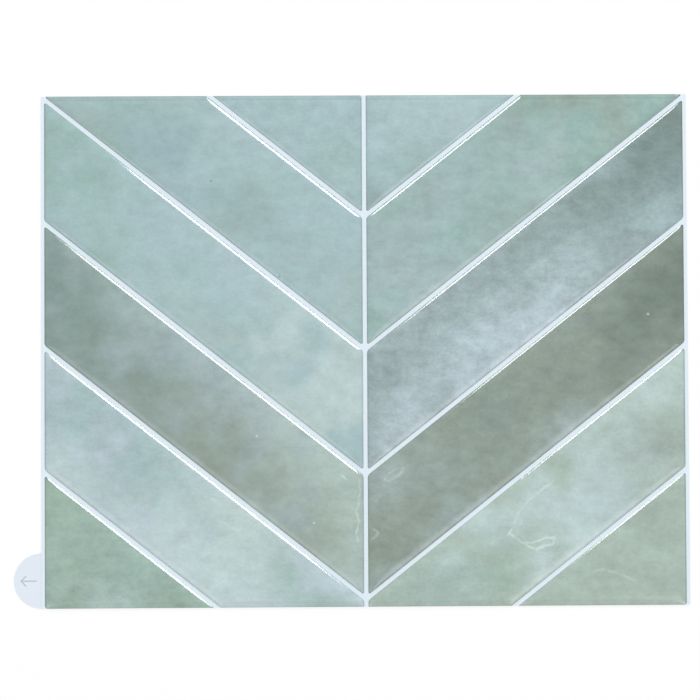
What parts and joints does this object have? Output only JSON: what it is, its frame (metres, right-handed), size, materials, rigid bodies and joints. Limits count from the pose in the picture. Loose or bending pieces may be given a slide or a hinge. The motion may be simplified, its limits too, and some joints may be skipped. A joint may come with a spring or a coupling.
{
  "type": "peel and stick backsplash tile",
  "caption": "Flat self-adhesive wall tile sheet: glossy raised resin tiles in a chevron on a white film whose bare strips are the grout, with a release liner and pull tab.",
  "frame": {"origin": "middle of the sheet without its pull tab, on the underside of the release liner, which rests on the floor", "axes": "+X along the sheet's width to the right as the tiles are seen, +Y up the sheet as it hangs on a wall, +Z out of the tiles' face"},
  "size_m": [0.3023, 0.2292, 0.002],
  "materials": {
    "release_liner": "silicone-coated, satin",
    "backing_film": "printed film, satin",
    "tile_left_1": "clear-coated resin, glossy, over a mottled glaze print",
    "tile_left_2": "clear-coated resin, glossy, over a mottled glaze print",
    "tile_left_3": "clear-coated resin, glossy, over a mottled glaze print",
    "tile_left_4": "clear-coated resin, glossy, over a mottled glaze print",
    "tile_left_5": "clear-coated resin, glossy, over a mottled glaze print",
    "tile_left_6": "clear-coated resin, glossy, over a mottled glaze print",
    "tile_right_1": "clear-coated resin, glossy, over a mottled glaze print",
    "tile_right_2": "clear-coated resin, glossy, over a mottled glaze print",
    "tile_right_3": "clear-coated resin, glossy, over a mottled glaze print",
    "tile_right_4": "clear-coated resin, glossy, over a mottled glaze print",
    "tile_right_5": "clear-coated resin, glossy, over a mottled glaze print",
    "tile_right_6": "clear-coated resin, glossy, over a mottled glaze print"
  },
  "bodies": {
    "root": {"release_liner": "release_liner", "backing_film": "backing_film", "tile_left_1": "tile_left_1", "tile_left_2": "tile_left_2", "tile_left_3": "tile_left_3", "tile_left_4": "tile_left_4", "tile_left_5": "tile_left_5", "tile_left_6": "tile_left_6", "tile_right_1": "tile_right_1", "tile_right_2": "tile_right_2", "tile_right_3": "tile_right_3", "tile_right_4": "tile_right_4", "tile_right_5": "tile_right_5", "tile_right_6": "tile_right_6"}
  },
  "joints": []
}
